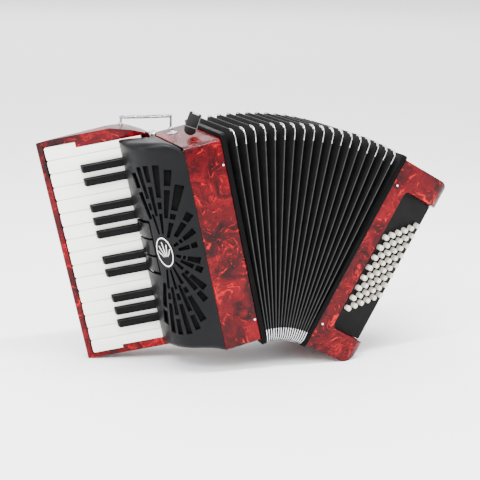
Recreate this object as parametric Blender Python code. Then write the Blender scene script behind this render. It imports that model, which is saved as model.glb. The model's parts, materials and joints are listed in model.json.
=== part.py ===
"""Piano accordion, fanned open and standing on its keyboard corner and bass corner.

Lengths are in millimetres in the named dimensions and become metres in the meshes.
Front is -Y, the keyboard is on the -X side, the bass side is +X and up is +Z.
"""
import bpy
import bmesh
import math
from mathutils import Vector

for old in list(bpy.data.objects):
    bpy.data.objects.remove(old, do_unlink=True)

# ---------------------------------------------------------------- driving dimensions
MM = 0.001
GAP = 0.3            # air between pieces that touch

LEAN = 12.55         # the treble side leans this many degrees towards the keyboard
DEPTH = 162.0        # both casings, front to back
SHIFT_X = 3.05        # brings the middle of the whole instrument to x = 0
SHIFT_Z = 41.22      # brings its lowest corner to z = 0

CASE_W = 53.0        # treble casing, keyboard side to bellows side
CASE_LOW = 2.5       # lower and upper edge of the treble casing
CASE_H = 297.0
WALL = 5.0           # casing walls

KEY_PITCH = 19.2     # one white key and its gap
WHITE_KEYS = 16
KEY_TOP = 322.0      # upper edge of the highest white key
KEY_U = -216.0       # front ends of the keys
KEY_V = 118.0
KEY_SLOPE = 19.7     # the key plane turns this far from the casing's front
HEAD = 44.5          # white head in front of the black keys
KEY_END = 134.0      # key length to its rear end
KEY_THICK = 10.0
KEY_DIP = 2.2        # degrees of travel
BLACK_W = 9.6
BLACK_RISE = 8.0
BLACK_AFTER = (2, 3, 5, 6, 7, 9, 10, 12, 13, 14)
AXLE_S = 128.0       # key axle, along the key and below its top
AXLE_T = -6.0
AXLE_R = 1.5

FRAME_W = 7.2        # wooden frames at each end of the bellows
FOLDS = 18           # fold peaks between the two frames
FOLD_TURN = 2.2      # degrees between neighbouring folds
FOLD_PITCH = 2.95    # distance between folds at the closed lower edge
BELLOWS_LOW = -5.0   # lower and upper edge of the bellows
BELLOWS_TOP = 303.0
BELLOWS_OUT = 2.0    # the bellows stand this far proud of the casings
RING = 12.0          # width of a bellows frame's bar
RING_THICK = 5.0
RING_AT = (2, 4, 6, 8, 10, 12, 14, 16)

BASS_W = 91.0        # bass casing at its upper end, and at its lower end
BASS_W_LOW = 81.0
BASS_H = 298.0
BASS_R = 23.0        # rounded outer corners of the bass casing
BOARD_U = 22.0       # front edge of the slanted button board
BOARD_V = 3.0
BOARD_TURN = 25.0    # the board turns this far from the casing's front
BOARD_LEN = 75.0
BOARD_LOW = 38.0
BOARD_HIGH = 260.0
BUTTON_ROWS = 6
BUTTONS_IN_ROW = 8
BUTTON_R = 4.2
BUTTON_HOLE = 4.7
BUTTON_PITCH = 16.4
ROW_PITCH = 10.7
ROW_STEP = 7.55
BUTTON_OUT = 7.0
BUTTON_PRESS = 3.5
ROW_ONE_S = 11.0
ROW_ONE_W = 73.2

# ---------------------------------------------------------------- collections, materials
parts = bpy.data.collections.new("parts")
cutters = bpy.data.collections.new("cutters")
bpy.context.scene.collection.children.link(parts)
bpy.context.scene.collection.children.link(cutters)


def material(name, colour, rough, metal=0.0, coat=0.0):
    mat = bpy.data.materials.new(name)
    mat.use_nodes = True
    bsdf = mat.node_tree.nodes["Principled BSDF"]
    bsdf.inputs["Base Color"].default_value = (*colour, 1.0)
    bsdf.inputs["Roughness"].default_value = rough
    bsdf.inputs["Metallic"].default_value = metal
    bsdf.inputs["Coat Weight"].default_value = coat
    mat.diffuse_color = (*colour, 1.0)
    return mat


RED = material("red_celluloid", (0.55, 0.01, 0.02), 0.2, coat=1.0)
BLACK = material("black_plastic", (0.03, 0.03, 0.035), 0.45)
IVORY = material("white_plastic", (0.86, 0.86, 0.83), 0.25)
EBONY = material("black_key_plastic", (0.02, 0.02, 0.02), 0.3)
CLOTH = material("bellows_cloth", (0.015, 0.015, 0.016), 0.7)
CHROME = material("chrome", (0.8, 0.8, 0.82), 0.1, metal=1.0)
STEEL = material("steel", (0.6, 0.6, 0.62), 0.3, metal=1.0)
WOOD = material("wood", (0.55, 0.38, 0.2), 0.6)
LEATHER = material("leather", (0.02, 0.02, 0.02), 0.55)

# ---------------------------------------------------------------- frames


class Frame:
    """A point and three directions, for placing shapes given in millimetres."""

    def __init__(self, origin, x, y, z):
        self.o = Vector(origin)
        self.x = Vector(x)
        self.y = Vector(y)
        self.z = Vector(z)

    def at(self, a, b, c):
        return self.o + self.x * a + self.y * b + self.z * c


def turned(origin, degrees):
    """A frame whose width direction is turned from +X towards +Z."""
    a = math.radians(degrees)
    return Frame(origin, (math.cos(a), 0, math.sin(a)), (0, 1, 0), (-math.sin(a), 0, math.cos(a)))


TREBLE = turned((SHIFT_X, -DEPTH / 2, SHIFT_Z), LEAN)

slope = math.radians(KEY_SLOPE)
KEYS = Frame(
    TREBLE.at(KEY_U, KEY_V, 0),
    TREBLE.x * math.cos(slope) - TREBLE.y * math.sin(slope),
    -TREBLE.x * math.sin(slope) - TREBLE.y * math.cos(slope),
    TREBLE.z,
)

# The fold planes: number 0 is the treble frame's face and the last one the bass frame's.
folds = [turned(TREBLE.at(FRAME_W - FOLD_PITCH / 2, 0, BELLOWS_LOW), LEAN)]
for k in range(1, FOLDS + 2):
    half = math.radians(LEAN - FOLD_TURN * (k - 0.5))
    step = Vector((math.cos(half), 0, math.sin(half))) * FOLD_PITCH
    folds.append(turned(folds[-1].o + step, LEAN - FOLD_TURN * k))

last = folds[-1]
BASS = Frame(last.at(FRAME_W - FOLD_PITCH / 2, 0, -BELLOWS_LOW), last.x, last.y, last.z)

bend = math.radians(BOARD_TURN)
BOARD = Frame(
    BASS.at(BOARD_U, BOARD_V, 0),
    BASS.x * math.cos(bend) + BASS.y * math.sin(bend),
    BASS.x * math.sin(bend) - BASS.y * math.cos(bend),
    BASS.z,
)

# ---------------------------------------------------------------- building blocks


def add_prism(bm, frame, axes, outline, low, high):
    """Extrude an outline in two of the frame's directions along the third.

    axes names the outline's two directions and then the extrusion's, such as "xyz".
    """
    rings = []
    for end in (low, high):
        ring = []
        for p in outline:
            coords = {axes[0]: p[0], axes[1]: p[1], axes[2]: end}
            ring.append(bm.verts.new(frame.at(coords["x"], coords["y"], coords["z"]) * MM))
        rings.append(ring)
    n = len(outline)
    bm.faces.new(rings[0])
    bm.faces.new(rings[1][::-1])
    for i in range(n):
        j = (i + 1) % n
        bm.faces.new((rings[0][i], rings[1][i], rings[1][j], rings[0][j]))


def add_box(bm, frame, x, y, z):
    add_prism(bm, frame, "xyz", [(x[0], y[0]), (x[1], y[0]), (x[1], y[1]), (x[0], y[1])], z[0], z[1])


def circle(cx, cy, r, sides, start=0.5):
    pts = []
    for i in range(sides):
        a = 2 * math.pi * (i + start) / sides
        pts.append((cx + r * math.cos(a), cy + r * math.sin(a)))
    return pts


def make(name, bm, mat, pivot=None, home=parts):
    """Turn a bmesh in world metres into a named object whose origin is on its pivot."""
    bmesh.ops.recalc_face_normals(bm, faces=bm.faces)
    origin = Vector(pivot) * MM if pivot is not None else Vector((0, 0, 0))
    bmesh.ops.translate(bm, verts=bm.verts, vec=-origin)
    mesh = bpy.data.meshes.new(name)
    bm.to_mesh(mesh)
    bm.free()
    mesh.materials.append(mat)
    obj = bpy.data.objects.new(name, mesh)
    obj.location = origin
    home.objects.link(obj)
    return obj


def tool(name, bm):
    obj = make(name, bm, BLACK, home=cutters)
    obj.hide_render = True
    obj.display_type = "WIRE"
    return obj


def boolean(obj, other, operation):
    mod = obj.modifiers.new(other.name, "BOOLEAN")
    mod.operation = operation
    mod.solver = "EXACT"
    mod.object = other


def prism(name, mat, frame, axes, outline, low, high, pivot=None):
    bm = bmesh.new()
    add_prism(bm, frame, axes, outline, low, high)
    return make(name, bm, mat, pivot)


def prism_tool(name, frame, axes, outline, low, high):
    bm = bmesh.new()
    add_prism(bm, frame, axes, outline, low, high)
    return tool(name, bm)


def box(name, mat, frame, x, y, z, pivot=None):
    bm = bmesh.new()
    add_box(bm, frame, x, y, z)
    return make(name, bm, mat, pivot)


def box_tool(name, frame, x, y, z):
    bm = bmesh.new()
    add_box(bm, frame, x, y, z)
    return tool(name, bm)


def rounded(y, z, radii, steps=4):
    """A rectangle over y and z whose corners (low-low, high-low, high-high, low-high) are rounded."""
    corners = ((y[0], z[0], 180), (y[1], z[0], 270), (y[1], z[1], 0), (y[0], z[1], 90))
    pts = []
    for (cy, cz, turn), r in zip(corners, radii):
        if r <= 0:
            pts.append((cy, cz))
            continue
        my = cy + r if cy == y[0] else cy - r
        mz = cz + r if cz == z[0] else cz - r
        for i in range(steps + 1):
            a = math.radians(turn + 90 * i / steps)
            pts.append((my + r * math.cos(a), mz + r * math.sin(a)))
    return pts


# ---------------------------------------------------------------- treble casing
# Four walls around the reed chamber, open towards the bellows and the keyboard.
outer = rounded((0, DEPTH), (CASE_LOW, CASE_H), (5, 5, 5, 9))
casing = prism("treble_casing", RED, TREBLE, "yzx", outer, -CASE_W, 0)
inner = rounded((WALL, DEPTH - WALL), (CASE_LOW + WALL, CASE_H - WALL), (0, 0, 0, 0))
boolean(casing, prism_tool("treble_hollow", TREBLE, "yzx", inner, -CASE_W - 5, 5), "DIFFERENCE")

# The pallet board closes the keyboard side of the chamber; each key's pallet covers a window.
BOARD_OUT = -CASE_W
board_y = (WALL + GAP, DEPTH - WALL - GAP)
board_z = (CASE_LOW + WALL + GAP, CASE_H - WALL - GAP)
pallet_board = box("pallet_board", WOOD, TREBLE, (BOARD_OUT, BOARD_OUT + 6), board_y, board_z)


def pallet_height(w):
    """Where on the board the pallet of a key at height w sits: the levers close up a little."""
    return 12.0 + (w - 18.0) * 0.9


# ---------------------------------------------------------------- keys
def notch_width(number):
    """Half the black key and its clearance, if a black key follows this white key."""
    return BLACK_W / 2 + 0.6 if number in BLACK_AFTER else GAP


axle_point = KEYS.at(AXLE_S, AXLE_T, KEY_TOP - WHITE_KEYS * KEY_PITCH / 2)
slot = AXLE_R + GAP
axle_slot = box_tool("axle_slot", KEYS, (AXLE_S - slot, AXLE_S + slot),
                     (-KEY_THICK - 2, AXLE_T + slot), (0, 340))

LEVER_U = (-90.0, BOARD_OUT - GAP - 1.5)


def add_lever(name, key, w, row_v):
    """The flat arm from a key's rear end to its pallet, and the pallet itself."""
    wp = pallet_height(w)
    w = min(w, 305.2)
    bm = bmesh.new()
    rings = []
    for u, v, h in ((LEVER_U[0], 74.5, w), (LEVER_U[1], row_v, wp)):
        ring = []
        for dv, dh in ((-3.5, -1.5), (3.5, -1.5), (3.5, 1.5), (-3.5, 1.5)):
            ring.append(bm.verts.new(TREBLE.at(u, v + dv, h + dh) * MM))
        rings.append(ring)
    bm.faces.new(rings[0])
    bm.faces.new(rings[1][::-1])
    for i in range(4):
        j = (i + 1) % 4
        bm.faces.new((rings[0][i], rings[1][i], rings[1][j], rings[0][j]))
    boolean(key, tool(name + "_lever", bm), "UNION")
    pad = box_tool(name + "_pallet", TREBLE, (BOARD_OUT - GAP - 3, BOARD_OUT - GAP),
                   (row_v - 12, row_v + 12), (wp - 5.2, wp + 5.2))
    boolean(key, pad, "UNION")
    return wp


windows = []
WHITE_ROW = 26.0
BLACK_ROW = 54.0
for i in range(1, WHITE_KEYS + 1):
    top = KEY_TOP - (i - 1) * KEY_PITCH
    low = top - KEY_PITCH
    rear_top = top - notch_width(i - 1)
    rear_low = low + notch_width(i)
    if i == 1:
        rear_top = top - 8.0
    if i == WHITE_KEYS:
        rear_low = low + 5.0
    head = HEAD - 1
    outline = [(0, low + GAP), (head, low + GAP)]
    if rear_low > low + GAP:
        outline += [(head, rear_low)]
    outline += [(KEY_END, rear_low), (KEY_END, rear_top)]
    if rear_top < top - GAP:
        outline += [(head, rear_top)]
    outline += [(head, top - GAP), (0, top - GAP)]
    name = "white_key_%02d" % i
    key = prism(name, IVORY, KEYS, "xzy", outline, -KEY_THICK, 0, axle_point)
    boolean(key, axle_slot, "DIFFERENCE")
    middle = (rear_top + rear_low) / 2
    windows.append((WHITE_ROW, add_lever(name, key, middle, WHITE_ROW)))

black_side = [
    (HEAD, -KEY_THICK), (HEAD, BLACK_RISE - 5), (HEAD + 3.5, BLACK_RISE), (108, BLACK_RISE),
    (113, 0), (KEY_END, 0), (KEY_END, -KEY_THICK), (AXLE_S + slot, -KEY_THICK),
    (AXLE_S + slot, AXLE_T + slot), (AXLE_S - slot, AXLE_T + slot), (AXLE_S - slot, -KEY_THICK),
]
for i, after in enumerate(BLACK_AFTER, 1):
    w = KEY_TOP - after * KEY_PITCH
    name = "black_key_%02d" % i
    key = prism(name, EBONY, KEYS, "xyz", black_side, w - BLACK_W / 2, w + BLACK_W / 2, axle_point)
    windows.append((BLACK_ROW, add_lever(name, key, w, BLACK_ROW)))

bm = bmesh.new()
for v, w in windows:
    add_box(bm, TREBLE, (BOARD_OUT - 1, BOARD_OUT + 7), (v - 9, v + 9), (w - 3.2, w + 3.2))
boolean(pallet_board, tool("pallet_windows", bm), "DIFFERENCE")

low_key = KEY_TOP - WHITE_KEYS * KEY_PITCH
prism("key_axle", STEEL, KEYS, "xyz", circle(AXLE_S, AXLE_T, AXLE_R, 12), low_key + 5.3, KEY_TOP - 8.3)

# ---------------------------------------------------------------- keyboard bed
BED_LOW = low_key - 7.0
BED_TOP = KEY_TOP + 9.0


def in_treble(s, t):
    """Key plane coordinates turned into the treble casing's width and depth."""
    u = KEY_U + s * math.cos(slope) - t * math.sin(slope)
    v = KEY_V - s * math.sin(slope) - t * math.cos(slope)
    return (u, v)


BED_FACE = -CASE_W - GAP
bed_outline = [in_treble(-10, -27), in_treble(-10, -3), in_treble(-8.5, -1.5), in_treble(-2, -1.5),
               in_treble(-2, -17), in_treble(118, -17), (BED_FACE, 102), (BED_FACE, DEPTH), (-110, DEPTH)]
bed = prism("keyboard_bed", RED, TREBLE, "xyz", bed_outline, BED_LOW, BED_TOP)
step_s = HEAD - 0.5
cheek_end = KEY_END + 6
cheek_top = [(-4, KEY_TOP + 0.5), (step_s, KEY_TOP + 0.5), (step_s, KEY_TOP - 7.5),
             (cheek_end, KEY_TOP - 7.5), (cheek_end, BED_TOP + 0.6), (-4, BED_TOP + 0.6)]
cheek_low = [(-4, BED_LOW - 0.6), (cheek_end, BED_LOW - 0.6), (cheek_end, low_key + 4.5),
             (step_s, low_key + 4.5), (step_s, low_key - 0.5), (-4, low_key - 0.5)]
boolean(bed, prism_tool("cheek_top", KEYS, "xzy", cheek_top, -22, -1.2), "UNION")
boolean(bed, prism_tool("cheek_low", KEYS, "xzy", cheek_low, -22, -1.2), "UNION")
# The block behind the levers is hollow, open towards the casing.
boolean(bed, box_tool("bed_hollow", TREBLE, (-112, -48), (108, 156), (24, 284)), "DIFFERENCE")
# The bed's upper edge falls away to the rear, and to meet the casing's top.
rear_fall = [(112, BED_TOP + 2), (170, BED_TOP - 13), (170, BED_TOP + 30), (112, BED_TOP + 30)]
boolean(bed, prism_tool("bed_rear_fall", TREBLE, "yzx", rear_fall, -250, -40), "DIFFERENCE")
fall = [(-135, BED_TOP + 3), (-100, BED_TOP - 7), (-84, BED_TOP - 14), (-68, BED_TOP - 23),
        (-50, BED_TOP - 36), (-50, BED_TOP + 40), (-135, BED_TOP + 40)]
boolean(bed, prism_tool("bed_fall", TREBLE, "xzy", fall, 60, DEPTH + 5), "DIFFERENCE")

# ---------------------------------------------------------------- treble grille
GRILLE_BACK = 73.0
GRILLE_A = 67.7
GRILLE_POWER = 2.7
SHELL = 3.0


def grille_front(u, inset=0.0):
    """Depth of the curved face at width u: a quarter of a squarish oval."""
    x = min(max((BED_FACE - u) / (GRILLE_A - inset), 0.0), 1.0)
    return GRILLE_BACK - (GRILLE_BACK - GAP - inset) * (1 - x ** GRILLE_POWER) ** (1 / GRILLE_POWER)


def grille_top(u):
    """Height of the grille's upper edge: nearly level, then curving down to the casing."""
    x = (u - BED_FACE) / GRILLE_A + 1.0
    return 315.0 - 7.0 * x - 15.0 * max(x, 0.0) ** 5


def grille_low(u):
    x = (u - BED_FACE) / GRILLE_A + 1.0
    return 17.0 - 3.0 * x - 11.5 * max(x, 0.0) ** 3


def grille_back(u):
    """The caps reach back to the bed, and pass in front of the keys' rear ends."""
    if u < -79:
        return 61 + 13.5 * (-79 - u) / (-79 - BED_FACE + GRILLE_A)
    return 93 - 32 * max(-73 - u, 0.0) / 6


def widths(inset, extra, steps=12):
    us = [BED_FACE - (GRILLE_A - inset) * max(math.cos(math.pi / 2 * i / steps), 0.0) ** (2 / GRILLE_POWER)
          for i in range(steps + 1)]
    return sorted(us + list(extra))


def add_sections(bm, sections):
    """Join a row of four-cornered sections, each (u, front, back, low, high)."""
    rings = []
    for u, front, back, low, high in sections:
        corners = ((front, low), (back, low), (back, high), (front, high))
        rings.append([bm.verts.new(TREBLE.at(u, v, w) * MM) for v, w in corners])
    bm.faces.new(rings[0])
    bm.faces.new(rings[-1][::-1])
    for r0, r1 in zip(rings, rings[1:]):
        for i in range(4):
            j = (i + 1) % 4
            bm.faces.new((r0[i], r0[j], r1[j], r1[i]))


bm = bmesh.new()
add_sections(bm, [(u, grille_front(u), grille_back(u), grille_low(u), grille_top(u))
                  for u in widths(0, (-79, -73))])
grille = make("treble_grille", bm, BLACK)
bm = bmesh.new()
inside = [(u, grille_front(u, SHELL), 120, grille_low(u) + SHELL, grille_top(u) - SHELL)
          for u in widths(SHELL, ())]
inside.append((BED_FACE + 5,) + inside[-1][1:])
add_sections(bm, inside)
boolean(grille, tool("grille_hollow", bm), "DIFFERENCE")
# Sound slots run out from the middle of the curved face like rays.
face_turn = math.radians(48)
FACE = Frame(
    TREBLE.at(-101, 31, 158),
    TREBLE.x * math.cos(face_turn) - TREBLE.y * math.sin(face_turn),
    -TREBLE.x * math.sin(face_turn) - TREBLE.y * math.cos(face_turn),
    TREBLE.z,
)
RAYS = 18
bm = bmesh.new()
for i in range(RAYS):
    a = math.radians(10 + 360 * i / RAYS)
    c, s = math.cos(a), math.sin(a)
    side = 34.0 if c > 0 else 20.0
    reach = min(side / max(abs(c), 0.01), 118 / max(abs(s), 0.01))
    if reach < 30:
        continue
    near, far, half = 25.0 - 6 * abs(c), reach, 2.6
    ray = [(near * c + half * s, near * s - half * c), (far * c + half * s, far * s - half * c),
           (far * c - half * s, far * s + half * c), (near * c - half * s, near * s + half * c)]
    add_prism(bm, FACE, "xzy", ray, -30, 30)
boolean(grille, tool("sound_slots", bm), "DIFFERENCE")

# Register tabs sit in a notch at the grille's keyboard edge and rock on a thin rod.
TAB_LOW = 131.0
TAB_W = 22.0
TAB_STEP = 24.5
ROD = (-113.8, 56.3)
tabs_high = TAB_LOW + 3 * TAB_STEP
boolean(grille, box_tool("tab_notch", TREBLE, (-126, -104), (28, 78), (TAB_LOW - 4, tabs_high + 1.5)),
        "DIFFERENCE")
tab_side = [(-121.5, 70), (-120.5, 50), (-117.5, 37), (-114.5, 31), (-110, 33), (-112, 45),
            (-112, 54.8), (-115.5, 54.8), (-115.5, 57.8), (-112, 57.8), (-112, 71), (-119, 71.5)]
for i in range(3):
    low = TAB_LOW + i * TAB_STEP
    pivot = TREBLE.at(*ROD, low + TAB_W / 2)
    prism("register_tab_%d" % (i + 1), BLACK, TREBLE, "xyz", tab_side, low, low + TAB_W, pivot)
prism("register_rod", STEEL, TREBLE, "xyz", circle(*ROD, 1.2, 10), TAB_LOW - 3.7, tabs_high + 1.2)

# ---------------------------------------------------------------- treble reeds
# Two rows of reed chambers stand on a base inside the casing.
bm = bmesh.new()
add_box(bm, TREBLE, (-46, -41), (16, 146), (18, 279))
reeds = make("treble_reed_block", bm, WOOD)
for i, v in enumerate((34, 84)):
    ridge = [(v, -42), (v + 26, -42), (v + 17, -14), (v + 9, -14)]
    boolean(reeds, prism_tool("treble_ridge_%d" % i, TREBLE, "yxz", ridge, 22, 275), "UNION")


# ---------------------------------------------------------------- strap bracket
def add_tube(bm, points, r, sides, closed=False):
    """A round wire through the points, in world millimetres."""
    rings = []
    n = len(points)
    for i, p in enumerate(points):
        before = points[i - 1] if closed or i else p
        after = points[(i + 1) % n] if closed or i < n - 1 else p
        along = (Vector(after) - Vector(before)).normalized()
        helper = Vector((0, 0, 1)) if abs(along.z) < 0.9 else Vector((0, 1, 0))
        across = along.cross(helper).normalized()
        up = across.cross(along)
        ring = []
        for j in range(sides):
            a = 2 * math.pi * j / sides
            ring.append(bm.verts.new((Vector(p) + across * r * math.cos(a) + up * r * math.sin(a)) * MM))
        rings.append(ring)
    for i in range(n if closed else n - 1):
        a, b = rings[i], rings[(i + 1) % n]
        for j in range(sides):
            k = (j + 1) % sides
            bm.faces.new((a[j], a[k], b[k], b[j]))
    if not closed:
        bm.faces.new(rings[0][::-1])
        bm.faces.new(rings[-1])


BRACKET_V = 146.0
foot_a = TREBLE.at(-93, BRACKET_V, BED_TOP - 7)
foot_b = TREBLE.at(-31, BRACKET_V, CASE_H + GAP)
WIRE_Z = foot_a.z + 11.0
loop = []
for cx, turn in ((foot_a.x + 5, 90), (foot_b.x - 5, 270)):
    for i in range(5):
        a = math.radians(turn + 45 * i)
        loop.append((cx + 9 * math.cos(a), foot_a.y + 9 * math.sin(a), WIRE_Z))
bm = bmesh.new()
add_tube(bm, loop, 1.6, 8, closed=True)
bracket = make("strap_bracket", bm, CHROME)
mid_x = (foot_a.x + foot_b.x) / 2
post_a = foot_a.x - 3.5
post_b = foot_b.x + 3.5
for name, a, b, r in (
    ("bracket_bar", (mid_x, foot_a.y - 9, WIRE_Z), (mid_x, foot_a.y + 9, WIRE_Z), 1.5),
    ("bracket_post_a", (post_a, foot_a.y, WIRE_Z + 1), (post_a, foot_a.y, foot_a.z - 1), 1.9),
    ("bracket_post_b", (post_b, foot_b.y, WIRE_Z + 1), (post_b, foot_b.y, foot_b.z + 1.6), 1.9),
):
    bm = bmesh.new()
    add_tube(bm, (a, b), r, 8)
    boolean(bracket, tool(name, bm), "UNION")

# ---------------------------------------------------------------- bellows
def bellows_ring(name, frame, low, high):
    """A rectangular wooden frame standing across the bellows."""
    top = BELLOWS_TOP - BELLOWS_LOW
    y = (-BELLOWS_OUT, DEPTH + BELLOWS_OUT)
    edge = rounded(y, (0, top), (3, 3, 3, 3), 1)
    ring = prism(name, CLOTH, frame, "yzx", edge, low, high, frame.o)
    hole = rounded((y[0] + RING, y[1] - RING), (RING, top - RING), (0, 0, 0, 0))
    boolean(ring, prism_tool(name + "_hole", frame, "yzx", hole, low - 2, high + 2), "DIFFERENCE")
    return ring


first = Frame(TREBLE.at(0, 0, BELLOWS_LOW), TREBLE.x, TREBLE.y, TREBLE.z)
bellows_ring("treble_bellows_frame", first, GAP, FRAME_W)
for i, k in enumerate(RING_AT, 1):
    bellows_ring("bellows_ring_%d" % i, folds[k], -RING_THICK / 2, RING_THICK / 2)
final = Frame(BASS.at(0, 0, BELLOWS_LOW), BASS.x, BASS.y, BASS.z)
bellows_ring("bass_bellows_frame", final, -FRAME_W, -GAP)

# ---------------------------------------------------------------- bellows strap
# A leather tab stands on the treble casing's top, ready to close over the bellows.
STRAP_HALF = 9.0
strap_pivot = TREBLE.at(-21, 62, CASE_H + GAP + 1.3)
strap_lean = math.radians(20)
STRAP = Frame(strap_pivot + TREBLE.z * STRAP_HALF, (0, -1, 0), (math.cos(strap_lean), 0, -math.sin(strap_lean)),
              (math.sin(strap_lean), 0, math.cos(strap_lean)))
tab = rounded((-STRAP_HALF, STRAP_HALF), (-STRAP_HALF, 23), (8.9, 8.9, 2, 2), 4)
strap = prism("bellows_strap", LEATHER, STRAP, "yzx", tab, -1.25, 1.25, strap_pivot)

# ---------------------------------------------------------------- bass casing
bass_side = [(0, 0), (64, 0), (74, 2.5), (82, 9), (88, 20), (92, 34), (96, 60), (96, DEPTH - 7),
             (87, DEPTH), (0, DEPTH)]
bass = prism("bass_casing", RED, BASS, "xyz", bass_side, -8, BASS_H + 8)
taper = (BASS_W - BASS_W_LOW) / BASS_H
bass_face = [(u - taper * (BASS_H - z) * (u > 0), z)
             for u, z in rounded((-10, BASS_W), (0, BASS_H), (0, BASS_R, BASS_R, 0), 5)]
boolean(bass, prism_tool("bass_outline", BASS, "xzy", bass_face, -10, DEPTH + 10), "INTERSECT")
chamber = [(-5, WALL + 1), (14, WALL + 1), (BASS_W_LOW - WALL, 47), (BASS_W_LOW - WALL, DEPTH - WALL),
           (-5, DEPTH - WALL)]
boolean(bass, prism_tool("bass_hollow", BASS, "xyz", chamber, WALL + 5, BASS_H - WALL - 5), "DIFFERENCE")
# The recess for the slanted board, and the opening under it for the button rows.
BOARD_THICK = 3.0
boolean(bass, box_tool("board_recess", BOARD, (0, BOARD_LEN + 25), (-BOARD_THICK - GAP, 60),
                       (BOARD_LOW, BOARD_HIGH)), "DIFFERENCE")
row_low = ROW_ONE_W - 11
row_high = ROW_ONE_W + (BUTTONS_IN_ROW - 1) * BUTTON_PITCH + (BUTTON_ROWS - 1) * ROW_STEP + 11
boolean(bass, box_tool("button_window", BOARD, (4.5, BOARD_LEN - 5), (-26, 0), (row_low, row_high)),
        "DIFFERENCE")

# ---------------------------------------------------------------- bass buttons
bm = bmesh.new()
rows = []
for r in range(BUTTON_ROWS):
    s = ROW_ONE_S + r * ROW_PITCH
    low = ROW_ONE_W + r * ROW_STEP
    rows.append((s, low))
    for b in range(BUTTONS_IN_ROW):
        add_prism(bm, BOARD, "xzy", circle(s, low + b * BUTTON_PITCH, BUTTON_HOLE, 8), -8, 8)
board = box("button_board", BLACK, BOARD, (GAP, BOARD_LEN), (-BOARD_THICK, 0),
            (BOARD_LOW + GAP, BOARD_HIGH - GAP))
boolean(board, tool("button_holes", bm), "DIFFERENCE")
for r, (s, low) in enumerate(rows, 1):
    name = "bass_button_row_%d" % r
    pivot = BOARD.at(s, 0, low + (BUTTONS_IN_ROW - 1) * BUTTON_PITCH / 2)
    high = low + (BUTTONS_IN_ROW - 1) * BUTTON_PITCH
    bar_top = -BOARD_THICK - GAP
    row = box(name, IVORY, BOARD, (s - 3, s + 3), (bar_top - 2, bar_top), (low - 5, high + 5), pivot)
    bm = bmesh.new()
    for b in range(BUTTONS_IN_ROW):
        ring = circle(s, low + b * BUTTON_PITCH, BUTTON_R, 8)
        add_prism(bm, BOARD, "xzy", ring, bar_top - 1, BUTTON_OUT)
    boolean(row, tool(name + "_buttons", bm), "UNION")

# ---------------------------------------------------------------- bass fittings
bm = bmesh.new()
add_box(bm, BASS, (14, 19), (62, 144), (24, 274))
bass_reeds = make("bass_reed_block", bm, WOOD)
for i, v in enumerate((68, 110)):
    ridge = [(v, 18), (v + 26, 18), (v + 18, 56), (v + 8, 56)]
    boolean(bass_reeds, prism_tool("bass_ridge_%d" % i, BASS, "yxz", ridge, 28, 270), "UNION")

# The hand strap bows out from the outer face; the wheel at its upper end sets its length.
STRAP_V = (98, 148)


def outer_face(z):
    """The bass casing's outer face at height z, with the air gap to what lies on it."""
    return BASS_W - taper * (BASS_H - z) + GAP


bow_out = []
bow_in = []
for i in range(9):
    z = 38 + 218 * i / 8
    rise = 23 * (1 - ((z - 147) / 109) ** 2)
    bow_out.append((outer_face(z) + 2.6 + rise, z))
    bow_in.append((outer_face(z) + rise, z))
foot_low = [(outer_face(26), 26), (outer_face(26) + 2.6, 26)]
foot_high = [(outer_face(268) + 2.6, 268), (outer_face(268), 268)]
prism("bass_hand_strap", LEATHER, BASS, "xzy", foot_low + bow_out + foot_high + bow_in[::-1], *STRAP_V)

WHEEL = (54.0, 118.0, BASS_H - 9.5)
boolean(bass, box_tool("wheel_slot", BASS, (42, 66), (114.5, 121.5), (BASS_H - 25, BASS_H + 5)), "DIFFERENCE")
wheel_axis = BASS.at(WHEEL[0], WHEEL[1], WHEEL[2])
rim = circle(WHEEL[0], WHEEL[2], 11.0, 20)
prism("strap_wheel", STEEL, BASS, "xzy", rim, WHEEL[1] - 2.8, WHEEL[1] + 2.8, wheel_axis)

AIR = (62.0, 258.0)
boolean(bass, prism_tool("air_hole", BASS, "yzx", circle(AIR[0], AIR[1], 5.4, 12), 70, 110), "DIFFERENCE")
AIR_FACE = outer_face(AIR[1])
air_pivot = BASS.at(AIR_FACE, AIR[0], AIR[1])
air_rim = circle(AIR[0], AIR[1], 5.0, 12)
prism("air_button", IVORY, BASS, "yzx", air_rim, AIR_FACE - 9, AIR_FACE + 4, air_pivot)
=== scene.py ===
"""Looks of a red pearl piano accordion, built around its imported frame.

Lengths are in millimetres in the named sizes and become metres in the meshes.
Front is -Y, the keyboard is on the -X side, the bass side is +X and up is +Z.
"""
import json
import math

import bmesh
import bpy
from mathutils import Matrix, Vector, noise

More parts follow.
